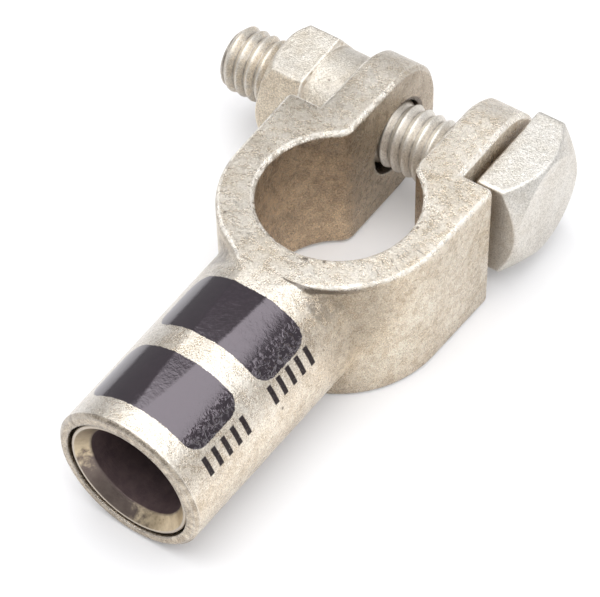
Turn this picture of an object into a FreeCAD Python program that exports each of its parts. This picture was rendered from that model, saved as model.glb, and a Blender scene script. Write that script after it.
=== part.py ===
"""Battery terminal clamp with a crimp barrel, a square head bolt and a shoulder nut.

Millimetres, +Z up. The origin is where the axis of the post bore crosses the axis of the barrel,
halfway up the ring.
The crimp barrel points to -Y, the two ears to +Y. The bolt lies along X with its head at +X.
"""
import FreeCAD
import Part
import math
import os

V = FreeCAD.Vector

# Ring round the battery post
ring_height = 17.5          # top face above the underside
bore_radius = 8.8           # post bore
ring_radius = 12.7          # outside of the ring
ring_shift = -0.3           # the outside circle is this far toward the barrel
edge_radius = 0.6           # rounding of the outer casting edges
edge_bevel = 0.45           # bevel of the bore, slit and ear edges

# Slit and ears
slit_half = 4.2             # slit centre plane to an ear's inner face
ear_thickness = 4.95
ear_tip_y = 25.2
ear_tip_radius = 7.7        # large rounding of the ear tips, seen from the side
slit_corner_radius = 1.9    # where the bore runs out into the slit

# Ledges that stop the bolt head and flank the nut
ledge_y = 9.7
ledge_half_width = 13.1
ledge_corner_radius = 0.8

# Bolt holes through the ears
hole_radius = 4.55
hole_from_tip = 7.75        # hole centre to the ear tip

# Crimp barrel, slightly wider at the ring
barrel_length = 37.0        # bore axis to the mouth
barrel_mouth_radius = 8.72
barrel_root_radius = 9.03
barrel_root_y = -12.0
barrel_bore_radius = 7.2
barrel_floor_y = -14.0
mouth_pocket_radius = 7.45  # the casting opens a little round the liner's end
mouth_pocket_depth = 2.5
mouth_pocket_shift = (-0.13, -0.16)
mouth_bevel = 0.4
barrel_fillet_radius = 1.4  # blend between the barrel and the ring wall

# Liner
liner_inner_radius = 5.65
liner_setback = 0.15        # its end stands this far inside the mouth
funnel_radius = 6.8
funnel_depth = 1.35

# Bolt, 5/16 inch with 18 threads to the inch
thread_radius = 3.97
bolt_rise = 0.5             # the bolt lies this far from the hole centre, toward the tip
head_width = 12.7           # across the flats of the square
head_height = 5.5
head_gap = 0.45             # air between the ear and the head
head_face_radius = 6.0
head_chamfer_drop = 2.2     # the corners end this far below the face
bolt_end_x = -26.7
bolt_end_chamfer = 0.75

# Nut
nut_width = 12.95           # across the flats of the hexagon
nut_turn = 6.0              # degrees away from a flat facing up
nut_shoulder_length = 5.2
nut_hex_length = 5.0
nut_face_radius = 6.55      # round outer face of the nut
nut_chamfer_drop = 1.05     # the corners end this far below the face
nut_shoulder_radius = 6.35
nut_bore_chamfer = 0.5
nut_running_gap = 0.05      # air between the bolt and the nut

# Values that follow from the sizes above
top_z = ring_height / 2.0
ear_face_x = slit_half + ear_thickness
hole_y = ear_tip_y - hole_from_tip
bolt_y = hole_y + bolt_rise
ear_tip_bend = min(ear_tip_radius, ring_height / 2.0 - 0.3)


def node_cylinder(radius, length, base, direction):
    return Part.makeCylinder(radius, length, base, direction)


def vertical_prism(points, z_low, z_high):
    wire = Part.makePolygon(points + [points[0]])
    return Part.Face(wire).extrude(V(0, 0, z_high - z_low))


def edges_near(shape, test):
    """Edges whose middle point passes the test."""
    found = []
    for edge in shape.Edges:
        middle = edge.valueAt((edge.FirstParameter + edge.LastParameter) / 2.0)
        if test(edge, middle):
            found.append(edge)
    return found


def kept_if_sound(make, size, edges, shape):
    """The rounded or bevelled shape, or the sharp one if that can't be built."""
    if not edges or size <= 0.0:
        return shape
    try:
        softened = make(size, edges)
    except Exception:
        return shape
    if softened.isNull() or not softened.isValid() or softened.Volume <= 0.0:
        return shape
    return softened


def round_edges(shape, radius, test):
    return kept_if_sound(shape.makeFillet, radius, edges_near(shape, test), shape)


def bevel_edges(shape, leg, test):
    return kept_if_sound(shape.makeChamfer, leg, edges_near(shape, test), shape)


def flank_points(z):
    """Outline of the two flanks: tangent from the ring's circle to each ledge corner."""
    reach = math.hypot(ledge_half_width, ledge_y - ring_shift)
    bearing = math.atan2(ledge_y - ring_shift, ledge_half_width)
    swing = math.acos(min(1.0, ring_radius / reach))
    touch_x = ring_radius * math.cos(bearing - swing)
    touch_y = ring_shift + ring_radius * math.sin(bearing - swing)
    return [V(-touch_x, touch_y, z), V(touch_x, touch_y, z),
            V(ledge_half_width, ledge_y, z), V(-ledge_half_width, ledge_y, z)]


def ring_block(z_low, z_high):
    """Ring and flanks, without the barrel or the ears."""
    ring = node_cylinder(ring_radius, z_high - z_low, V(0, ring_shift, z_low), V(0, 0, 1))
    flanks = vertical_prism(flank_points(z_low), z_low, z_high)
    block = ring.fuse(flanks).removeSplitter()

    def is_corner(edge, middle):
        upright = abs(edge.BoundBox.ZLength - (z_high - z_low)) < 0.01
        return upright and middle.y > ledge_y - 0.01 and abs(middle.x) > ledge_half_width - 0.01

    return round_edges(block, ledge_corner_radius, is_corner)


def barrel_solid():
    """The barrel's outside, a slightly tapered round bar from inside the ring to the mouth."""
    slope = (barrel_root_radius - barrel_mouth_radius) / (barrel_length + barrel_root_y)
    start_y = -bore_radius * 0.6
    start_radius = barrel_root_radius + slope * (start_y - barrel_root_y)
    length = barrel_length + start_y
    return Part.makeCone(start_radius, barrel_mouth_radius, length, V(0, start_y, 0), V(0, -1, 0))


def ring_with_barrel():
    """Ring and barrel with their blend, built over height and then cut to the two faces."""
    tall = ring_block(-top_z - 8.0, top_z + 8.0).fuse(barrel_solid())

    def is_joint_line(edge, middle):
        box = edge.BoundBox
        outside = box.YMax < ring_shift and box.YMin > -barrel_length + 1.0
        return outside and box.XLength > 1.0 and box.ZLength > 1.0 and box.ZLength < ring_height + 2.0

    def is_outer_rim(edge, middle):
        on_face = abs(abs(middle.z) - top_z) < 0.01
        on_circle = abs(math.hypot(middle.x, middle.y - ring_shift) - ring_radius) < 0.01
        return edge.BoundBox.ZLength < 0.01 and on_face and on_circle

    blended = round_edges(tall, barrel_fillet_radius, is_joint_line)
    slab = Part.makeBox(80, 120, ring_height, V(-40, -80, -top_z))
    return round_edges(blended.common(slab), edge_radius, is_outer_rim)


def ear_block():
    """Both ears as one block with a round tip and bevelled rims, before the slit is cut."""
    low = V(-ear_face_x, 0, -top_z)
    block = Part.makeBox(2 * ear_face_x, ear_tip_y, ring_height, low)

    def is_tip(edge, middle):
        along_x = edge.BoundBox.XLength > ear_face_x
        return along_x and abs(middle.y - ear_tip_y) < 0.01

    def is_outer_rim(edge, middle):
        return edge.BoundBox.XLength < 0.01 and abs(abs(middle.x) - ear_face_x) < 0.01 and middle.y > 1.0

    block = round_edges(block, ear_tip_bend, is_tip)
    return bevel_edges(block, edge_bevel, is_outer_rim)


def post_and_slit():
    """Air of the post bore and the slit, with the soft corners where they meet."""
    bore = node_cylinder(bore_radius, ring_height + 2, V(0, 0, -top_z - 1), V(0, 0, 1))
    slit = Part.makeBox(2 * slit_half, ear_tip_y + 5, ring_height + 2, V(-slit_half, 0, -top_z - 1))
    return bore.fuse(slit).removeSplitter()


def barrel_air():
    """Air inside the barrel: the bore for the liner and the wider pocket at the mouth."""
    bore_length = barrel_length + barrel_floor_y + 1.0
    bore = node_cylinder(barrel_bore_radius, bore_length, V(0, barrel_floor_y, 0), V(0, -1, 0))
    shift_x, shift_z = mouth_pocket_shift
    start = V(shift_x, -barrel_length + mouth_pocket_depth, shift_z)
    pocket = node_cylinder(mouth_pocket_radius, mouth_pocket_depth + 1.0, start, V(0, -1, 0))
    return bore.fuse(pocket)


def bolt_holes():
    start = V(-ear_face_x - 1.0, hole_y, 0)
    return node_cylinder(hole_radius, 2 * ear_face_x + 2.0, start, V(1, 0, 0))


def soften_bore_corners(body):
    """Rounds the upright corners where the post bore meets the slit."""
    corner_y = math.sqrt(bore_radius ** 2 - slit_half ** 2)

    def is_corner(edge, middle):
        upright = edge.BoundBox.ZLength > ring_height * 0.9
        at_x = abs(abs(middle.x) - slit_half) < 0.05
        return upright and at_x and abs(middle.y - corner_y) < 0.1

    return round_edges(body, slit_corner_radius, is_corner)


def soften_rims(body):
    """Bevels the edges of the bore, the slit and the ears' inner faces, then the mouth."""

    def is_bore_rim(edge, middle):
        flat = edge.BoundBox.ZLength < 0.01
        return flat and abs(middle.z - top_z) < 0.01 and math.hypot(middle.x, middle.y) < bore_radius + 0.4

    def is_mouth(edge, middle):
        box = edge.BoundBox
        at_mouth = box.YLength < 0.01 and abs(middle.y + barrel_length) < 0.01
        return at_mouth and box.ZMin < 0.2 - barrel_mouth_radius

    body = bevel_edges(body, edge_bevel, is_bore_rim)
    return bevel_edges(body, mouth_bevel, is_mouth)


def clamp_body():
    body = ring_with_barrel().fuse(ear_block()).removeSplitter()
    body = body.cut(post_and_slit())
    body = soften_bore_corners(body)
    body = body.cut(barrel_air())
    body = body.cut(bolt_holes())
    return soften_rims(body)


def barrel_liner():
    """The sleeve turned about the barrel's axis, with its rolled lip and funnel."""
    lip_y = -barrel_length + liner_setback
    outer = barrel_bore_radius
    outline = [(barrel_floor_y, liner_inner_radius), (barrel_floor_y, outer), (lip_y + 0.28, outer),
               (lip_y + 0.08, outer - 0.08), (lip_y, outer - 0.22), (lip_y + 0.06, funnel_radius),
               (lip_y + funnel_depth, liner_inner_radius)]
    points = [V(radius, y, 0) for y, radius in outline]
    wire = Part.makePolygon(points + [points[0]])
    return Part.Face(wire).revolve(V(0, 0, 0), V(0, 1, 0), 360)


def turned_solid(profile):
    """Solid of revolution about the bolt's axis, from (x, radius) pairs that start and end on it."""
    points = [V(x, bolt_y + radius, 0) for x, radius in profile]
    wire = Part.makePolygon(points + [points[0]])
    return Part.Face(wire).revolve(V(0, bolt_y, 0), V(1, 0, 0), 360)


def clamp_bolt():
    under_x = ear_face_x + head_gap
    end_x = under_x + head_height
    half = head_width / 2.0
    corner = half * math.sqrt(2.0)
    square = Part.makeBox(head_height, head_width, head_width, V(under_x, bolt_y - half, -half))
    beyond = corner + 0.5
    slope = head_chamfer_drop / (corner - head_face_radius)
    cone_x = end_x - slope * (beyond - head_face_radius)
    cone = turned_solid([(under_x, 0.0), (under_x, beyond), (cone_x, beyond),
                         (end_x, head_face_radius), (end_x, 0.0)])
    head = square.common(cone)
    tip = thread_radius - bolt_end_chamfer
    shank = turned_solid([(bolt_end_x, 0.0), (bolt_end_x, tip), (bolt_end_x + bolt_end_chamfer, thread_radius),
                          (under_x + 0.5, thread_radius), (under_x + 0.5, 0.0)])
    return head.fuse(shank).removeSplitter()


def hexagon(x_low, length):
    corner = nut_width / math.sqrt(3.0)
    points = []
    for step in range(6):
        angle = math.radians(60.0 * step + nut_turn)
        points.append(V(x_low, bolt_y + corner * math.cos(angle), corner * math.sin(angle)))
    return Part.Face(Part.makePolygon(points + [points[0]])).extrude(V(length, 0, 0))


def shoulder_nut():
    seat_x = -ear_face_x
    hex_x = seat_x - nut_shoulder_length
    end_x = hex_x - nut_hex_length
    corner = nut_width / math.sqrt(3.0)
    envelope = turned_solid([(end_x, 0.0), (end_x, nut_face_radius), (end_x + nut_chamfer_drop, corner + 0.01),
                             (hex_x, corner + 0.01), (hex_x, 0.0)])
    head = hexagon(end_x, nut_hex_length).common(envelope)
    shoulder = turned_solid([(hex_x - 0.5, 0.0), (hex_x - 0.5, nut_shoulder_radius),
                             (seat_x - 0.3, nut_shoulder_radius),
                             (seat_x, nut_shoulder_radius - 0.3), (seat_x, 0.0)])
    inner = thread_radius + nut_running_gap
    wide = inner + nut_bore_chamfer
    bore = turned_solid([(end_x - 0.1, 0.0), (end_x - 0.1, wide + 0.1), (end_x + nut_bore_chamfer, inner),
                         (seat_x - nut_bore_chamfer, inner), (seat_x + 0.1, wide + 0.1),
                         (seat_x + 0.1, 0.0)])
    return head.fuse(shoulder).removeSplitter().cut(bore)


os.makedirs("parts", exist_ok=True)
for name, make in (("clamp_body", clamp_body), ("barrel_liner", barrel_liner),
                   ("clamp_bolt", clamp_bolt), ("shoulder_nut", shoulder_nut)):
    shape = make()
    shape.exportStep("parts/" + name + ".step")
    print(name, "valid" if shape.isValid() else "NOT VALID", len(shape.Solids), "solid",
          len(shape.Faces), "faces", round(shape.Volume, 1), "mm3")
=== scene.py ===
import math

import bpy
from mathutils import Matrix, Vector


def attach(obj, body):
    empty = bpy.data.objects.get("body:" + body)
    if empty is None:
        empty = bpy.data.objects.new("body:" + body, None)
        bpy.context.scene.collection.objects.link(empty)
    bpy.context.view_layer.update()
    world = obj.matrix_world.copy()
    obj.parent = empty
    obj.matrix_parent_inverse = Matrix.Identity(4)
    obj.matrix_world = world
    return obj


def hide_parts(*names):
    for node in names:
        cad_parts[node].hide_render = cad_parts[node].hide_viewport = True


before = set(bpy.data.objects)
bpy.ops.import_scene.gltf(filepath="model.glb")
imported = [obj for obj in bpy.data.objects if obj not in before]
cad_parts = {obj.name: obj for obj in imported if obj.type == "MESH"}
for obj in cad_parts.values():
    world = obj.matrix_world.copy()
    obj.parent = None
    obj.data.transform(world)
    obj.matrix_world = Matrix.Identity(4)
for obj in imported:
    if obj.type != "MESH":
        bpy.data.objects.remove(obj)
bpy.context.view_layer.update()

MM = 0.001

# Sizes that follow the solids, in millimetres
TOP_Z = 8.75
UNDERSIDE_Z = -TOP_Z
BORE_R = 8.8
RING_R = 12.7
RING_SHIFT_Y = -0.3
SLIT_HALF = 4.2
EAR_SIDE_X = 9.15
LEDGE_Y = 9.7
HOLE_R = 4.55
BARREL_R = 8.9
BARREL_END_Y = -37.0
LINER_R = 5.65
FUNNEL_R = 6.8
FUNNEL_END_Y = -35.5
BOLT_Y = 17.95
BOLT_END_X = -26.7
HEAD_UNDER_X = 9.6
HEAD_FACE_X = 15.1
HEAD_HALF = 6.35
HEAD_FACE_R = 6.0
HEAD_CHAMFER_DROP = 2.2
THREAD_R = 3.97
NUT_END_X = -19.35
NUT_HEX_X = -14.35
NUT_SEAT_X = -9.15
NUT_HALF = 6.475
NUT_FACE_R = 6.55
NUT_CHAMFER_DROP = 1.05
NUT_TURN = 6.0
NUT_SHOULDER_R = 6.35
NUT_BORE_R = 4.02

# The thread, which the solids leave plain, in millimetres; a shape of 1 is a plain V
THREAD_DEPTH = 0.60
THREAD_PITCH = 1.4111
THREAD_PHASE = 0.46
THREAD_SHAPE = 1.35
END_CHAMFER = 0.75

# The painted fields and the bars on the barrel, in millimetres: places are (along the barrel, round it)
FRONT_FIELD = (-30.25, 0.0)
REAR_FIELD = (-19.45, 0.45)
FIELD_HALF = (3.85, 7.6)
FIELD_CORNER = 2.0
FRONT_BARS_Y = -34.1
REAR_BARS_Y = -23.4
BARS_AROUND = 9.4
BAR_COUNT = 5
BAR_PITCH = 1.52
BAR_WIDTH = 0.66

# Places of single marks, in millimetres
# Centre of the painted shade on the ring's wall beside the barrel
WALL_SHADE = (7.5, -10.5, 5.0)
LARGE_PIT = (2.33, -9.21, TOP_Z)
SMALL_PITS = (
    (8.51, -22.3, 2.44),
    (4.08, -8.51, TOP_Z),
    (-8.34, -8.63, TOP_Z),
    (9.33, 0.76, TOP_Z),
    (2.1, -9.3, TOP_Z),
)
NUT_PIT = (-12.13, 15.64, 5.97)

# Colours, dark and light, of the tan that paints shade on upright walls and side faces and of the aged skin
# inside, then of the painted highlight on the chipped rims and of dirt, which also paints shade in creases,
# hollows and thread roots
TAN = ((0.62, 0.49, 0.335), (0.99, 0.86, 0.67))
AGED = ((0.23, 0.175, 0.125), (0.54, 0.42, 0.29))
RIM_HIGHLIGHT_COLOUR = (0.90, 0.86, 0.79)
DIRT_AND_SHADE_COLOUR = (0.11, 0.08, 0.055)


# Shader help

class Graph:
    """Adds nodes to one node tree and links them."""

    def __init__(self, tree):
        self.tree = tree
        tree.nodes.clear()

    def plug(self, socket, value):
        if isinstance(value, bpy.types.NodeSocket):
            self.tree.links.new(value, socket)
        elif isinstance(value, tuple) and len(value) == 3 and len(socket.default_value) == 4:
            socket.default_value = (*value, 1.0)
        else:
            socket.default_value = value

    def add(self, kind, inputs, out=0, **settings):
        made = self.tree.nodes.new(kind)
        for key, value in settings.items():
            setattr(made, key, value)
        for key, value in inputs.items():
            self.plug(made.inputs[key], value)
        return made.outputs[out]

    def math(self, operation, a, b=0.0):
        return self.add("ShaderNodeMath", {0: a, 1: b}, operation=operation)

    def vmath(self, operation, a, b=(0.0, 0.0, 0.0), out=0):
        return self.add("ShaderNodeVectorMath", {0: a, 1: b}, out=out, operation=operation)

    def scaled(self, vector, scale):
        return self.add("ShaderNodeVectorMath", {0: vector, "Scale": scale}, operation="SCALE")

    def split(self, vector):
        made = self.tree.nodes.new("ShaderNodeSeparateXYZ")
        self.plug(made.inputs[0], vector)
        return made.outputs

    def join(self, x, y, z):
        return self.add("ShaderNodeCombineXYZ", {0: x, 1: y, 2: z})

    def noise(self, vector, scale, detail=3.0, rough=0.5, distortion=0.0, out=0):
        inputs = {"Vector": vector, "Scale": scale, "Detail": detail, "Roughness": rough,
                  "Distortion": distortion}
        return self.add("ShaderNodeTexNoise", inputs, out=out)

    def cells(self, vector, scale, feature="F1"):
        return self.add("ShaderNodeTexVoronoi", {"Vector": vector, "Scale": scale}, feature=feature)

    def remap(self, value, low, high, to_low=0.0, to_high=1.0, smooth=False):
        kind = "SMOOTHSTEP" if smooth else "LINEAR"
        return self.add("ShaderNodeMapRange", {0: value, 1: low, 2: high, 3: to_low, 4: to_high},
                        interpolation_type=kind)

    def mix(self, factor, a, b, blend="MIX"):
        made = self.tree.nodes.new("ShaderNodeMix")
        made.data_type = "RGBA"
        made.blend_type = blend
        self.plug(made.inputs[0], factor)
        self.plug(made.inputs[6], a)
        self.plug(made.inputs[7], b)
        return made.outputs[2]

    def dim(self, colour, level):
        """A colour times one number."""
        return self.mix(1.0, colour, self.join(level, level, level), "MULTIPLY")

    def blend(self, factor, a, b):
        made = self.tree.nodes.new("ShaderNodeMix")
        made.data_type = "FLOAT"
        self.plug(made.inputs[0], factor)
        self.plug(made.inputs[2], a)
        self.plug(made.inputs[3], b)
        return made.outputs[0]

    def bump(self, height, strength, distance_mm, normal=None):
        inputs = {"Height": height, "Strength": strength, "Distance": distance_mm * MM}
        if normal is not None:
            inputs["Normal"] = normal
        return self.add("ShaderNodeBump", inputs)

    def mm(self):
        """Object coordinates in millimetres."""
        place = self.add("ShaderNodeTexCoord", {}, out="Object")
        return self.scaled(place, 1000.0)

    def finish(self, shader, target="ShaderNodeOutputMaterial"):
        made = self.tree.nodes.new(target)
        self.plug(made.inputs["Surface"], shader)


def new_material(name):
    """A material and the graph of its nodes."""
    made = bpy.data.materials.new(name)
    made.use_nodes = True
    return made, Graph(made.node_tree)


def fold(g, operation, values):
    """Joins several values by one operation."""
    result = values[0]
    for value in values[1:]:
        result = g.math(operation, result, value)
    return result


def both(g, *masks):
    """Product of several masks."""
    return fold(g, "MULTIPLY", masks)


def strongest(g, masks):
    """The largest of several masks."""
    return fold(g, "MAXIMUM", masks)


def weighted(g, layers, shares):
    """Sum of some layers, each times its share."""
    return fold(g, "ADD", [g.math("MULTIPLY", layers[name], share) for name, share in shares.items()])


# Materials

def metal_layers(g, place, worn_edge_highlight_mm=0.4, open_mm=6.0):
    """Layers of every tin plated surface: colour patches, grain, flecks, scratches, wear on the edges that
    is also lit as a painted highlight, and the occlusion that paints shade in hollows.
    """
    layers = {}
    layers["cloud"] = g.noise(place, 0.22, 4.0, 0.6, 0.4)
    layers["mottle"] = g.noise(place, 1.0, 5.0, 0.62, 0.2)
    layers["grain"] = g.noise(place, 6.2, 3.0, 0.62)
    layers["fine"] = g.noise(place, 12.0, 2.0, 0.6)
    layers["fleck"] = fleck_mask(g, place)
    drift = g.noise(place, 1.5, 2.0, out="Color")
    layers["facet"] = g.cells(g.vmath("ADD", place, g.scaled(drift, 0.8)), 2.1)
    stretched = g.vmath("MULTIPLY", place, (0.9, 4.5, 4.5))
    thin = g.remap(g.cells(stretched, 0.8, "DISTANCE_TO_EDGE"), 0.0, 0.03, 1.0, 0.0)
    layers["scratch"] = g.math("MULTIPLY", thin, g.remap(g.noise(place, 0.35, 2.0), 0.52, 0.62))
    layers["flat"] = g.add("ShaderNodeNewGeometry", {}, out="True Normal")
    layers["round"] = g.add("ShaderNodeBevel", {"Radius": worn_edge_highlight_mm * MM}, samples=4)
    facing = g.vmath("DOT_PRODUCT", layers["round"], layers["flat"], out=1)
    layers["edge"] = g.remap(facing, 0.995, 0.94)
    # Occlusion, used to paint shade into hollows
    layers["open"] = g.add("ShaderNodeAmbientOcclusion", {"Distance": open_mm * MM}, out="AO", samples=4)
    return layers


def fleck_mask(g, place):
    """Small raised flecks, longer than they are wide, that lie in two directions."""
    masks = []
    for angle, offset in ((0.55, 0.0), (-0.9, 37.0)):
        shifted = g.vmath("ADD", place, (offset, offset, offset))
        inputs = {"Vector": shifted, "Angle": angle}
        turned = g.add("ShaderNodeVectorRotate", inputs, rotation_type="Z_AXIS")
        spot = g.cells(g.vmath("MULTIPLY", turned, (1.1, 4.2, 2.2)), 1.0)
        masks.append(g.remap(spot, 0.16, 0.34, 1.0, 0.0, smooth=True))
    return strongest(g, masks)


def metal_colour(g, layers, light, dark, shade):
    """Base colour of a metal. Layers that a metal doesn't have are left out."""
    tone = weighted(g, layers, {"cloud": 0.30, "mottle": 0.35, "grain": 0.35})
    colour = g.mix(g.remap(tone, 0.39, 0.59), dark, light)
    # The tan mostly paints shade on upright walls and side faces
    if "tan" in layers:
        colour = g.mix(layers["tan"], colour, g.mix(g.remap(tone, 0.41, 0.58), *TAN))
    if "inside" in layers:
        aged = g.dim(g.mix(g.remap(tone, 0.38, 0.60), *AGED), layers["depth"])
        colour = g.mix(layers["inside"], colour, aged)
    # Painted shade: occlusion darkens hollows, corners and creases toward the shade colour
    colour = g.mix(g.remap(layers["open"], 0.2, 0.8, 0.8, 0.0), colour, shade)
    colour = g.dim(colour, g.remap(layers["grain"], 0.35, 0.65, 0.78, 1.13))
    # Flecks and scratches are lighter; the lighter edges are wear and also a painted highlight along them
    bright = tuple(min(1.0, c * 1.14) for c in light)
    for name, share in (("fleck", 0.25), ("edge", 0.6), ("scratch", 0.3)):
        colour = g.mix(g.math("MULTIPLY", layers[name], share), colour, bright)
    # On the casting this is painted light, brighter toward +X and darker by the left ledge; on the bolt it
    # darkens the thread toward its end
    if "side" in layers:
        colour = g.dim(colour, layers["side"])
    # Painted highlight: the rims turn near white
    if "rim" in layers:
        colour = g.mix(g.math("MULTIPLY", layers["rim"], 0.7), colour, RIM_HIGHLIGHT_COLOUR)
    # Dark marks: real dirt, pits and filed lines, and painted shade and shadow in creases and hollows
    if "mark" in layers:
        colour = g.mix(layers["mark"], colour, DIRT_AND_SHADE_COLOUR)
    return colour


def metal_shader(g, layers, light, dark, rough, metallic, relief, shade=(0.30, 0.215, 0.145)):
    """Principled metal whose colour, roughness and relief come from the layers."""
    roughness = g.math("ADD", rough, g.remap(layers["mottle"], 0.3, 0.7, -0.06, 0.08))
    height = weighted(g, layers, {"grain": 0.7, "fine": 0.35, "fleck": 0.14, "facet": 0.24, "scratch": -0.2})
    start = layers["round"]
    if "rim" in layers:
        toward_light = g.scaled((0.25, -0.30, 0.92), g.math("MULTIPLY", layers["rim"], 0.8))
        start = g.vmath("NORMALIZE", g.vmath("ADD", start, toward_light))
    waves = g.bump(layers["mottle"], 0.3, 0.22, start)
    inputs = {"Base Color": metal_colour(g, layers, light, dark, shade), "Metallic": metallic,
              "Roughness": roughness, "Normal": g.bump(height, relief, 0.15, waves)}
    if "gloss" in layers:
        inputs["Coat Weight"] = layers["gloss"]
        inputs["Coat IOR"] = 2.0
        inputs["Coat Roughness"] = 0.16
        inputs["Coat Normal"] = g.bump(height, 0.35, 0.10, waves)
    return g.add("ShaderNodeBsdfPrincipled", inputs)


def box_mask(g, point, centre, half, corner, soft):
    """1 inside a rectangle with round corners, on a flat (u, v, 0) chart."""
    away = g.vmath("ABSOLUTE", g.vmath("SUBTRACT", point, (*centre, 0.0)))
    past = g.vmath("SUBTRACT", away, (half[0] - corner, half[1] - corner, 0.0))
    outside = g.vmath("LENGTH", g.vmath("MAXIMUM", past, (0.0, 0.0, 0.0)), out=1)
    return g.remap(outside, corner - soft, corner + soft, 1.0, 0.0, smooth=True)


def near_point(g, place, centre, low, high):
    """1 within low millimetres of a point, 0 past high."""
    away = g.vmath("LENGTH", g.vmath("SUBTRACT", place, centre), out=1)
    return g.remap(away, low, high, 1.0, 0.0, smooth=True)


class Spot:
    """Where a point of the casting lies and which way it faces, as sockets that the masks share."""

    def __init__(self, g, place, flat):
        self.place = place
        self.x, self.y, self.z = g.split(place)
        self.nx, self.ny, self.nz = g.split(g.vmath("ABSOLUTE", flat))
        self.side = g.math("ABSOLUTE", self.x)
        self.from_post = g.vmath("LENGTH", g.join(self.x, self.y, 0.0), out=1)
        self.from_barrel = g.vmath("LENGTH", g.join(self.x, 0.0, self.z), out=1)
        self.upright = g.remap(self.nz, 0.20, 0.85, 1.0, 0.0)
        # Weight of the painted shade on the ring's wall beside the barrel
        self.painted_dark = near_point(g, place, WALL_SHADE, 3.0, 9.0)
        near_end = g.math("LESS_THAN", self.y, BARREL_END_Y + 0.8)
        self.end_face = both(g, near_end, g.remap(self.ny, 0.45, 0.65))


def worn_rim_highlights(g, at):
    """Painted highlight on the rims of the ring's faces and of the ears' flanks, chipped here and there."""
    tilted = both(g, g.math("GREATER_THAN", at.nz, 0.25), g.math("LESS_THAN", at.nz, 0.94))
    uneven = g.math("MULTIPLY", g.math("SUBTRACT", g.noise(at.place, 1.1, 3.0), 0.5), 0.9)
    height = g.math("ADD", g.math("ABSOLUTE", at.z), uneven)
    at_face = g.remap(height, TOP_Z - 0.50, TOP_Z - 0.22)
    on_ring = both(g, g.math("GREATER_THAN", at.y, -RING_R - 0.25), g.math("LESS_THAN", at.y, 17.0))
    face_rim = both(g, tilted, at_face, on_ring)
    slanted = both(g, g.math("GREATER_THAN", at.nx, 0.35), g.math("LESS_THAN", at.nx, 0.94))
    at_flank = g.remap(at.side, EAR_SIDE_X - 0.55, EAR_SIDE_X - 0.40)
    ear_rim = both(g, slanted, at_flank, g.math("GREATER_THAN", at.y, LEDGE_Y + 0.2))
    chipped = g.remap(g.noise(at.place, 1.6, 3.0, 0.6), 0.36, 0.50, 0.15, 1.0)
    return both(g, g.math("MAXIMUM", face_rim, ear_rim), chipped)


def tan_wall_shade(g, at):
    """Painted shade in tan on upright walls, most of all toward the barrel and round the shaded spot beside
    it, and the tan of the barrel's end face.
    """
    toward_ears = g.remap(at.y, -8.0, 8.0, 0.7, 0.3)
    on_barrel = g.remap(at.y, -15.0, -12.5, 0.9, 1.0)
    wall = g.math("ADD", both(g, at.upright, toward_ears), both(g, at.painted_dark, at.upright))
    return g.math("MAXIMUM", both(g, wall, on_barrel), at.end_face)


def brown_inside(g, at):
    """The brown walls of the bore and of the slit, whose brown fades toward the ears' tips as painted light
    where they are lit.
    """
    in_bore = g.remap(at.from_post, BORE_R + 0.4, BORE_R + 0.6, 1.0, 0.0)
    past_bore = g.math("GREATER_THAN", at.y, 6.0)
    in_slit = both(g, g.remap(at.side, SLIT_HALF + 0.15, SLIT_HALF + 0.3, 1.0, 0.0), past_bore)
    steep = g.remap(at.nz, 0.4, 0.6, 1.0, 0.0)
    # Painted light: the brown lightens toward the ears' tips
    fading = g.remap(at.y, 7.5, 13.0, 1.0, 0.45)
    return both(g, g.math("MAXIMUM", in_bore, in_slit), steep, fading)


def filed_lines(g, at):
    """A fan of broken lines on the ring's top, right of the barrel."""
    bearing = g.math("ARCTAN2", at.y, at.x)
    wobble = g.math("MULTIPLY", g.noise(at.place, 0.9, 2.0), 0.05)
    turned = g.math("FRACT", g.math("MULTIPLY", g.math("ADD", bearing, wobble), 11.0))
    line = g.remap(g.math("ABSOLUTE", g.math("SUBTRACT", turned, 0.5)), 0.045, 0.09, 1.0, 0.0)
    on_top = both(g, g.math("GREATER_THAN", at.z, 8.0), g.math("GREATER_THAN", at.nz, 0.9))
    fan = both(g, g.remap(bearing, -0.66, -0.60), g.remap(bearing, -0.12, -0.05, 1.0, 0.0),
               g.remap(at.from_post, 9.6, 10.2), g.remap(at.from_post, 12.0, 12.5, 1.0, 0.0))
    broken = g.remap(g.noise(at.place, 1.8, 2.0), 0.42, 0.55)
    return both(g, on_top, line, fan, broken, 0.55)


def pit_marks(g, at):
    """The few pits that stand out."""
    large = near_point(g, at.place, LARGE_PIT, 0.14, 0.30)
    small = [near_point(g, at.place, centre, 0.10, 0.26) for centre in SMALL_PITS]
    return g.math("MULTIPLY", strongest(g, [large, *small]), 0.8)


def crease_shadow(g, at):
    """Painted shadow in the creases where the top of the barrel meets the ring's rim, stronger on the right.
    """
    from_ring = g.vmath("LENGTH", g.join(at.x, g.math("SUBTRACT", at.y, RING_SHIFT_Y), 0.0), out=1)
    radius = g.remap(at.side, 1.6, 3.9, RING_R - 0.32, RING_R + 0.12)
    width = g.remap(at.side, 1.6, 4.2, 0.09, 0.30)
    away = g.math("DIVIDE", g.math("ABSOLUTE", g.math("SUBTRACT", from_ring, radius)), width)
    line = g.remap(away, 0.5, 1.0, 1.0, 0.0)
    at_rim = both(g, g.remap(at.z, 7.65, 7.95), g.remap(at.y, -6.0, -11.0), g.remap(at.side, 1.5, 1.9))
    return both(g, line, at_rim, g.remap(at.x, -0.5, 0.5, 0.3, 0.9))


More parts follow.
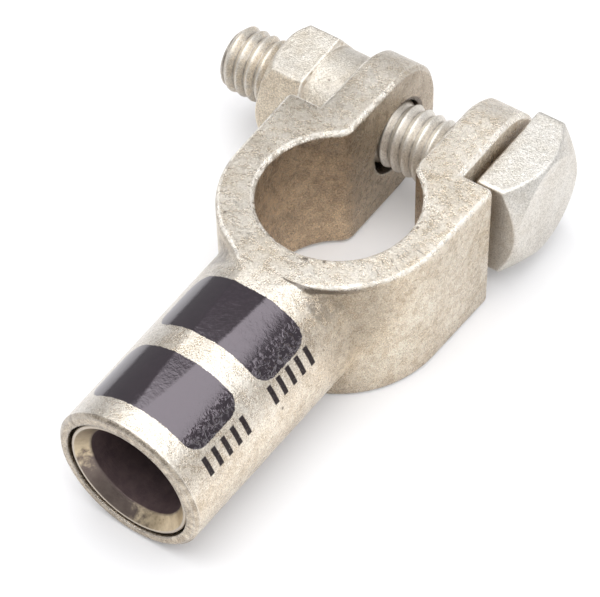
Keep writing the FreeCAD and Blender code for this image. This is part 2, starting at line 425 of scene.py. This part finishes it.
def valley_shade(g, at, mottle):
    """Painted shade where the barrel's flanks run into the ring's wall."""
    along = both(g, g.remap(at.y, -13.8, -13.2), g.remap(at.y, -10.0, -9.0, 1.0, 0.0))
    high = both(g, g.remap(at.z, 3.5, 6.0), g.remap(at.z, 7.4, 8.0, 1.0, 0.0))
    uneven = g.remap(mottle, 0.35, 0.55, 0.15, 0.6)
    return both(g, g.remap(at.from_barrel, 9.9, 10.5, 1.0, 0.0), along, high, uneven)


def dark_marks(g, at, mottle):
    """The strongest of all that is dark on the casting: filed lines and pits, painted shadow and shade at
    the barrel, dirt on the end face with painted shade toward its top, and painted shade in the bolt's hole.
    """
    dirty = g.remap(mottle, 0.36, 0.62, 0.44, 0.20)
    from_bolt = g.vmath("LENGTH", g.join(0.0, g.math("SUBTRACT", at.y, BOLT_Y), at.z), out=1)
    return strongest(g, [
        filed_lines(g, at),
        pit_marks(g, at),
        crease_shadow(g, at),
        valley_shade(g, at, mottle),
        # Painted shade on the ring's wall beside the barrel
        both(g, at.painted_dark, at.upright, 0.42),
        # Dirt on the barrel's end face, with painted shade making it darker toward the top
        both(g, at.end_face, dirty, g.remap(at.z, -6.0, 6.0, 0.9, 1.5)),
        # Painted shade inside the bolt's hole
        g.remap(from_bolt, HOLE_R + 0.01, HOLE_R + 0.11, 0.8, 0.0),
    ])


def painted_side_light(g, at, inside):
    """Painted light: brightness that falls toward -X and by the left ledge, but not on the inside walls."""
    by_ledge = both(g, g.remap(at.x, -9.0, -5.0, 1.0, 0.0), g.remap(at.y, 4.0, 9.0),
                    g.remap(at.y, 13.0, 17.0, 1.0, 0.0))
    across = g.remap(at.x, -12.0, 12.0, 0.80, 1.09)
    level = g.math("SUBTRACT", across, g.math("MULTIPLY", by_ledge, 0.19))
    return g.math("MAXIMUM", level, inside)


def casting_zones(g, at, layers):
    """Adds the casting's zones to its layers: wear, dirt and the brown inside, with painted light, shade and
    highlights among them.
    """
    layers["rim"] = worn_rim_highlights(g, at)
    layers["tan"] = tan_wall_shade(g, at)
    layers["inside"] = brown_inside(g, at)
    layers["depth"] = g.remap(at.z, -6.5, 7.5, 1.7, 1.15)
    outside = g.remap(layers["inside"], 0.0, 0.2, 1.0, 0.0)
    layers["fleck"] = g.math("MULTIPLY", layers["fleck"], outside)
    layers["mark"] = dark_marks(g, at, layers["mottle"])
    layers["side"] = painted_side_light(g, at, layers["inside"])
    facing_up = g.split(layers["flat"])[2]
    layers["gloss"] = both(g, g.remap(at.y, -15.5, -11.0, 0.95, 0.3), outside,
                           g.remap(facing_up, 0.1, 0.75, 0.35, 1.0))


def casting_material():
    """Tin plate all over, with two painted fields and two rows of bars on the barrel."""
    made, g = new_material("tinned_casting")
    place = g.mm()
    layers = metal_layers(g, place)
    at = Spot(g, place, layers["flat"])
    casting_zones(g, at, layers)
    relief = g.remap(at.y, -15.5, -12.5, 0.45, 1.0)
    metal = metal_shader(g, layers, (0.86, 0.805, 0.715), (0.60, 0.50, 0.365), 0.27, 0.90, relief)
    around = g.math("MULTIPLY", g.math("ARCTAN2", at.x, at.z), BARREL_R)
    outer = g.math("GREATER_THAN", at.from_barrel, 8.3)
    field = both(g, field_mask(g, at, around), outer)
    bars = strongest(g, [bar_mask(g, at.y, around, start_y) for start_y in (FRONT_BARS_Y, REAR_BARS_Y)])
    worn_ink = g.remap(g.noise(place, 4.0, 4.0, 0.7), 0.28, 0.38, 0.5, 0.97)
    cover = g.math("MAXIMUM", field, both(g, bars, outer, worn_ink))
    paint = paint_shader(g, place, layers, around, both(g, bars, g.math("SUBTRACT", 1.0, field)))
    g.finish(g.add("ShaderNodeMixShader", {0: cover, 1: metal, 2: paint}))
    return made


def field_mask(g, at, around):
    """The two painted fields, with slightly ragged edges."""
    ragged = g.math("MULTIPLY", g.math("SUBTRACT", g.noise(at.place, 2.6, 4.0, 0.75), 0.5), 0.34)
    chart = g.join(g.math("ADD", at.y, ragged), g.math("ADD", around, ragged), 0.0)
    front = box_mask(g, chart, FRONT_FIELD, FIELD_HALF, FIELD_CORNER, 0.05)
    rear = box_mask(g, chart, REAR_FIELD, FIELD_HALF, FIELD_CORNER, 0.05)
    return both(g, g.math("MAXIMUM", front, rear), g.math("LESS_THAN", at.y, -14.5))


def bar_mask(g, y, around, start_y):
    """A row of plain bars in place of print."""
    along = g.math("DIVIDE", g.math("SUBTRACT", y, start_y), BAR_PITCH)
    inside = both(g, g.math("GREATER_THAN", along, 0.0), g.math("LESS_THAN", along, float(BAR_COUNT)))
    cell = g.math("ABSOLUTE", g.math("SUBTRACT", g.math("FRACT", along), 0.5))
    edge = BAR_WIDTH * 0.5 / BAR_PITCH
    stroke = g.remap(cell, edge - 0.03, edge + 0.03, 1.0, 0.0)
    height = g.math("ABSOLUTE", g.math("SUBTRACT", around, BARS_AROUND))
    tall = g.remap(height, 1.08, 1.18, 1.0, 0.0)
    return both(g, inside, stroke, tall)


def paint_shader(g, place, layers, around, ink):
    """Black gloss paint with beads where it ran thick on the right side; the ink is the same, but dull."""
    haze = g.noise(place, 2.2, 5.0, 0.7)
    colour = g.mix(g.remap(haze, 0.3, 0.7), (0.004, 0.002, 0.003), (0.014, 0.008, 0.011))
    thick = g.remap(around, 5.3, 6.7)
    wrinkle = g.noise(place, 1.7, 3.0, 0.55, 0.6)
    beads = g.remap(g.noise(place, 1.7, 2.0, 0.5, 0.8), 0.44, 0.62, smooth=True)
    normal = g.bump(wrinkle, 0.2, 0.045, layers["round"])
    normal = g.bump(layers["grain"], 0.2, 0.02, normal)
    normal = g.bump(g.math("MULTIPLY", beads, thick), 0.9, 0.14, normal)
    inputs = {"Base Color": colour, "Roughness": g.blend(ink, 0.10, 0.6), "Normal": normal, "IOR": 1.65,
              "Specular IOR Level": g.blend(ink, 0.5, 0.15), "Specular Tint": (1.0, 0.84, 1.0, 1.0),
              "Coat Weight": g.blend(ink, 0.7, 0.0), "Coat IOR": 1.6, "Coat Roughness": 0.04,
              "Coat Normal": normal}
    return g.add("ShaderNodeBsdfPrincipled", inputs)


def liner_material():
    """The sleeve: bare metal at the lip and funnel, dull and dark further in, where the dark is painted
    shade; the funnel has painted shade on its upper part and a painted dark reflection on its lower left.
    """
    made, g = new_material("tinned_sleeve")
    place = g.mm()
    layers = metal_layers(g, place, 0.15, 2.0)
    x, y, z = g.split(place)
    from_axis = g.vmath("LENGTH", g.join(x, 0.0, z), out=1)
    deep = both(g, g.remap(y, FUNNEL_END_Y - 0.2, FUNNEL_END_Y + 0.1),
                g.remap(from_axis, LINER_R + 0.1, LINER_R + 0.25, 1.0, 0.0))
    bearing = g.math("ARCTAN2", z, x)
    # Painted dark reflection on the funnel's lower left, broken by noise
    low_left = g.math("ABSOLUTE", g.math("SUBTRACT", bearing, -2.2))
    smear = g.math("ADD", low_left, g.math("MULTIPLY", g.math("SUBTRACT", layers["mottle"], 0.5), 1.3))
    painted_dark = g.remap(smear, 0.5, 0.95, 0.85, 0.0, smooth=True)
    # Painted shade: the upper part of the funnel is darker
    upper = g.remap(z, -0.5, 4.0, 0.0, 0.9)
    tone = g.remap(layers["mottle"], 0.36, 0.62)
    colour = g.mix(tone, (0.56, 0.44, 0.28), (0.78, 0.65, 0.45))
    colour = g.mix(upper, colour, (0.34, 0.275, 0.195))
    colour = g.mix(painted_dark, colour, (0.13, 0.10, 0.105))
    colour = g.mix(g.remap(from_axis, FUNNEL_R - 0.02, FUNNEL_R + 0.04), colour, (0.60, 0.53, 0.44))
    # Painted shade: near black further in
    colour = g.mix(deep, colour, g.mix(tone, (0.105, 0.07, 0.075), (0.145, 0.10, 0.10)))
    turned = g.join(g.math("MULTIPLY", from_axis, 9.0), g.math("MULTIPLY", y, 9.0), bearing)
    rings = g.noise(turned, 1.0, 2.0)
    normal = g.bump(rings, 0.35, 0.05, layers["round"])
    normal = g.bump(layers["grain"], 0.35, 0.08, normal)
    inputs = {"Base Color": colour, "Metallic": g.blend(deep, 0.85, 0.25), "Normal": normal,
              "Roughness": g.blend(deep, g.remap(layers["mottle"], 0.3, 0.7, 0.26, 0.38), 0.6)}
    g.finish(g.add("ShaderNodeBsdfPrincipled", inputs))
    return made


def steel_material():
    """The plated bolt: a thread with dirt and painted shade in its roots, darker toward its end, and a pale
    head whose side flats near the ear carry painted shade in tan.
    """
    made, g = new_material("plated_steel")
    place = g.mm()
    layers = metal_layers(g, place, 0.25, 1.2)
    x, y, z = g.split(place)
    from_axis = g.vmath("LENGTH", g.join(0.0, g.math("SUBTRACT", y, BOLT_Y), z), out=1)
    on_thread = g.math("LESS_THAN", x, HEAD_UNDER_X)
    # Dirt and painted shade in the thread's roots
    groove = g.remap(from_axis, THREAD_R - THREAD_DEPTH, THREAD_R - THREAD_DEPTH + 0.16, 1.0, 0.0)
    past_end = g.math("GREATER_THAN", x, BOLT_END_X + 0.15)
    uneven = g.remap(g.noise(place, 1.3, 3.0), 0.40, 0.58, 0.4, 0.8)
    layers["mark"] = both(g, groove, on_thread, past_end, uneven)
    layers["fleck"] = g.math("MULTIPLY", layers["fleck"], g.blend(on_thread, 0.6, 0.0))
    metallic = g.blend(on_thread, 0.85, 0.6)
    # Painted shade in tan on the head's side flats near the ear
    upright = g.remap(g.split(g.vmath("ABSOLUTE", layers["flat"]))[2], 0.3, 0.7, 0.7, 0.0)
    near_ear = g.remap(x, HEAD_UNDER_X + 0.6, HEAD_UNDER_X + 3.4, 1.0, 0.15)
    spots = both(g, g.remap(layers["mottle"], 0.40, 0.60, 1.0, 0.3), g.remap(x, -19.0, -10.0, 0.65, 0.1))
    layers["tan"] = g.blend(on_thread, g.math("MULTIPLY", upright, near_ear), spots)
    layers["mottle"] = g.blend(on_thread, layers["mottle"], 0.53)
    layers["facet"] = g.blend(on_thread, layers["facet"], 0.5)
    relief = g.blend(on_thread, 0.5, 0.15)
    layers["side"] = g.remap(x, -22.0, -10.0, 0.84, 1.0)
    light, dark, shade = (0.85, 0.825, 0.775), (0.69, 0.645, 0.565), (0.50, 0.40, 0.28)
    metal = metal_shader(g, layers, light, dark, 0.36, metallic, relief, shade)
    g.finish(metal)
    return made


def nut_material():
    """The tin plated nut, with a painted highlight along its step and its seat, and painted shade in tan on
    its side faces.
    """
    made, g = new_material("tinned_nut")
    place = g.mm()
    layers = metal_layers(g, place, 0.25, 4.0)
    x, y, z = g.split(place)
    from_axis = g.vmath("LENGTH", g.join(0.0, g.math("SUBTRACT", y, BOLT_Y), z), out=1)
    # Painted highlight along the step and the seat, broken up by noise
    off_step = g.math("ABSOLUTE", g.math("SUBTRACT", x, NUT_HEX_X - 0.04))
    past_shoulder = g.remap(from_axis, NUT_SHOULDER_R + 0.03, NUT_SHOULDER_R + 0.11)
    on_step = both(g, g.remap(off_step, 0.10, 0.18, 1.0, 0.0), past_shoulder)
    off_seat = g.math("ABSOLUTE", g.math("SUBTRACT", x, NUT_SEAT_X - 0.32))
    on_seat = g.remap(off_seat, 0.08, 0.22, 1.0, 0.0)
    patchy = g.remap(g.noise(place, 1.2, 3.0), 0.36, 0.50, 0.3, 1.0)
    layers["rim"] = both(g, g.math("MAXIMUM", on_step, on_seat), patchy)
    layers["mark"] = both(g, near_point(g, place, NUT_PIT, 0.10, 0.26), 0.6)
    # Painted shade: side faces take the tan
    nz = g.split(g.vmath("ABSOLUTE", layers["flat"]))[2]
    layers["tan"] = g.remap(nz, 0.35, 0.80, 0.8, 0.0)
    metal = metal_shader(g, layers, (0.77, 0.73, 0.66), (0.60, 0.54, 0.45), 0.37, 0.85, 0.8)
    g.finish(metal)
    return made


# Shapes

def soft_min(a, b, width):
    """The smaller of two numbers, with a round step between them."""
    h = max(width - abs(a - b), 0.0) / width
    return min(a, b) - h * h * width * 0.25


def polygon_radius(half, count, angle, softness):
    """Radius at an angle of a polygon with slightly round corners; half is half the width across flats."""
    total = 0.0
    for k in range(count):
        total += math.exp(math.cos(angle - 2 * math.pi * k / count) / softness)
    return half / (softness * math.log(total))


def ring_of_points(x, segments, radius):
    """Points round the bolt's axis at x; radius(x, angle) in mm, angle from +Z toward +Y."""
    points = []
    for k in range(segments):
        angle = 2 * math.pi * k / segments
        r = radius(x, angle)
        points.append((x * MM, (BOLT_Y + r * math.sin(angle)) * MM, r * math.cos(angle) * MM))
    return points


def skin(name, stations, segments, radius, bore=None):
    """A skin round the bolt's axis. It closes on the axis, or through a bore of (x, radius) pairs."""
    rows = [ring_of_points(x, segments, radius) for x in stations]
    for x, bore_radius in bore or []:
        rows.append(ring_of_points(x, segments, lambda x, angle, r=bore_radius: r))
    verts = [point for row in rows for point in row]
    faces = []
    for i in range(len(rows) if bore else len(rows) - 1):
        here, beyond = i * segments, (i + 1) % len(rows) * segments
        for k in range(segments):
            n = (k + 1) % segments
            faces.append((here + k, here + n, beyond + n, beyond + k))
    if not bore:
        first, last = len(verts), len(verts) + 1
        verts.append((stations[0] * MM, BOLT_Y * MM, 0.0))
        verts.append((stations[-1] * MM, BOLT_Y * MM, 0.0))
        top = (len(rows) - 1) * segments
        for k in range(segments):
            n = (k + 1) % segments
            faces.append((first, n, k))
            faces.append((last, top + k, top + n))
    mesh = bpy.data.meshes.new(name)
    mesh.from_pydata(verts, [], faces)
    mesh.polygons.foreach_set("use_smooth", [True] * len(mesh.polygons))
    mesh.update()
    made = bpy.data.objects.new(name, mesh)
    bpy.context.scene.collection.objects.link(made)
    return made


def spread(low, high, step):
    """Even stations from low to high, at most a step apart."""
    count = max(1, int(math.ceil((high - low) / step)))
    return [low + (high - low) * i / count for i in range(count + 1)]


def thread_radius(x, angle):
    """Radius of the bolt's right hand thread, with the chamfer at its end."""
    turn = (math.pi / 2 - angle) / (2 * math.pi)
    phase = (x / THREAD_PITCH - turn - THREAD_PHASE) % 1.0
    from_crest = min(phase, 1.0 - phase)
    depth = THREAD_DEPTH * (2.0 * from_crest) ** THREAD_SHAPE
    end = THREAD_R - END_CHAMFER + (x - BOLT_END_X)
    return soft_min(THREAD_R - 0.01 - depth, end, 0.12)


def head_radius(x, angle):
    """Radius of the square head: a cone takes its corners off toward the face, and both rims are eased."""
    under_edge, face_edge = 0.2, 0.25
    below_face = HEAD_FACE_X - x
    square = polygon_radius(HEAD_HALF, 4, angle, 0.012)
    corner = HEAD_HALF * math.sqrt(2.0)
    cone = HEAD_FACE_R + below_face * (corner - HEAD_FACE_R) / HEAD_CHAMFER_DROP
    value = soft_min(square, cone, face_edge)
    if below_face < face_edge:
        drop = math.sqrt(max(0.0, face_edge ** 2 - (face_edge - below_face) ** 2))
        value = min(value, HEAD_FACE_R + 0.2 - face_edge + drop + 3.0 * below_face)
    return min(value, square - under_edge + min(under_edge, x - HEAD_UNDER_X))


def nut_radius(x, angle):
    """Radius of the nut: a chamfered hexagon that steps down to the round shoulder and its seat."""
    turned = angle + math.radians(NUT_TURN)
    hexagon = polygon_radius(NUT_HALF, 6, turned, 0.008)
    corner = NUT_HALF * 2 / math.sqrt(3.0)
    cone = NUT_FACE_R + (x - NUT_END_X) * (corner - NUT_FACE_R) / NUT_CHAMFER_DROP
    value = soft_min(hexagon, cone, 0.15)
    back = corner + 0.2 - max(0.0, x - (NUT_HEX_X - 0.15)) * 1.5
    value = min(value, back)
    shoulder = NUT_SHOULDER_R - max(0.0, x - (NUT_SEAT_X - 0.3))
    step = min(1.0, max(0.0, (x - NUT_HEX_X) / 0.06))
    return value + (shoulder - value) * step


def build_bolt(material):
    """The threaded shank and the head, which take the place of the plain solid bolt."""
    stations = spread(BOLT_END_X, HEAD_UNDER_X + 0.2, THREAD_PITCH / 26)
    shank = skin("bolt_thread", stations, 72, thread_radius)
    stations = (spread(HEAD_UNDER_X, HEAD_UNDER_X + 0.2, 0.05)
                + spread(HEAD_UNDER_X + 0.25, HEAD_FACE_X - 0.3, 0.09)
                + spread(HEAD_FACE_X - 0.25, HEAD_FACE_X, 0.03))
    head = skin("bolt_head", stations, 288, head_radius)
    for piece in (shank, head):
        piece.data.materials.append(material)
        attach(piece, "bolt")
    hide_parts("clamp_bolt")
    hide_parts("clamp_bolt")


def build_nut(material):
    """The nut's skin, open through its bore."""
    outer = (spread(NUT_END_X, NUT_END_X + 1.2, 0.06)
             + spread(NUT_END_X + 1.3, NUT_HEX_X - 0.2, 0.2)
             + spread(NUT_HEX_X - 0.15, NUT_HEX_X + 0.1, 0.03)
             + spread(NUT_HEX_X + 0.3, NUT_SEAT_X - 0.35, 0.3)
             + spread(NUT_SEAT_X - 0.3, NUT_SEAT_X, 0.05))
    bore = [(NUT_SEAT_X, 0.5), (NUT_SEAT_X - 0.5, 0.0), (NUT_END_X + 0.5, 0.0), (NUT_END_X, 0.5)]
    shell = skin("nut_shell", outer, 240, nut_radius, [(x, NUT_BORE_R + wider) for x, wider in bore])
    shell.data.materials.append(material)
    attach(shell, "nut")
    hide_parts("shoulder_nut")


def dress_node(name, material):
    """Gives a solid of the CAD its material."""
    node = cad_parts[name]
    node.data.materials.clear()
    node.data.materials.append(material)


# Studio

def build_floor():
    """A pale floor with a faint glow, a little stronger where the camera sees it."""
    half = 1.2
    mesh = bpy.data.meshes.new("floor")
    z = UNDERSIDE_Z * MM
    corners = [(-half, -half, z), (half, -half, z), (half, half, z), (-half, half, z)]
    mesh.from_pydata(corners, [], [(0, 1, 2, 3)])
    made = bpy.data.objects.new("floor", mesh)
    bpy.context.scene.collection.objects.link(made)
    material, g = new_material("white_floor")
    lit = g.add("ShaderNodeBsdfDiffuse", {"Color": (0.76, 0.76, 0.77, 1.0)})
    seen = g.add("ShaderNodeLightPath", {}, out="Is Camera Ray")
    strength = g.blend(seen, 0.08, 0.17)
    glow = g.add("ShaderNodeEmission", {"Color": (1.0, 1.0, 1.0, 1.0), "Strength": strength})
    g.finish(g.add("ShaderNodeAddShader", {0: lit, 1: glow}))
    mesh.materials.append(material)


def add_lamp(name, place, turn_degrees, width, depth, power):
    """A soft box that looks straight down."""
    data = bpy.data.lights.new(name, "AREA")
    data.shape = "RECTANGLE"
    data.size, data.size_y = width, depth
    data.energy = power
    lamp = bpy.data.objects.new(name, data)
    lamp.location = place
    lamp.rotation_euler = (0.0, 0.0, math.radians(turn_degrees))
    bpy.context.scene.collection.objects.link(lamp)


def build_world():
    """Pale surroundings, a little brighter above and behind; the camera itself sees white."""
    world = bpy.data.worlds.new("studio")
    bpy.context.scene.world = world
    world.use_nodes = True
    g = Graph(world.node_tree)
    direction = g.add("ShaderNodeTexCoord", {}, out="Generated")
    _, y, z = g.split(direction)
    up = g.remap(z, -0.1, 0.9, 0.32, 0.45)
    back = g.remap(y, -0.8, 0.8, 0.8, 1.2)
    level = g.math("MULTIPLY", up, back)
    tint = g.join(level, level, g.math("MULTIPLY", level, 1.03))
    seen = g.add("ShaderNodeLightPath", {}, out="Is Camera Ray")
    colour = g.mix(seen, tint, (1.0, 1.0, 1.0))
    g.finish(g.add("ShaderNodeBackground", {"Color": colour, "Strength": 1.0}), "ShaderNodeOutputWorld")


def build_camera():
    """The camera that was fitted to the photograph."""
    data = bpy.data.cameras.new("camera")
    data.lens = 147.43
    data.sensor_width = 36.0
    data.clip_start, data.clip_end = 0.01, 10.0
    camera = bpy.data.objects.new("camera", data)
    right = Vector((0.816588, 0.576860, -0.020403))
    up = Vector((-0.428791, 0.629891, 0.647592))
    back = Vector((0.386421, -0.520067, 0.761714))
    turned = Matrix((right, up, back)).transposed().to_4x4()
    place_mm = Vector((100.1821, -142.1355, 196.6281))
    camera.matrix_world = Matrix.Translation(place_mm * MM) @ turned
    bpy.context.scene.collection.objects.link(camera)
    bpy.context.scene.camera = camera


dress_node("clamp_body", casting_material())
dress_node("barrel_liner", liner_material())
build_bolt(steel_material())
build_nut(nut_material())
build_floor()
add_lamp("softbox", (0.05, -0.0325, 0.52), 3.3, 1.02, 0.655, 5.1)
build_world()
build_camera()
bpy.context.scene.view_settings.view_transform = "Standard"
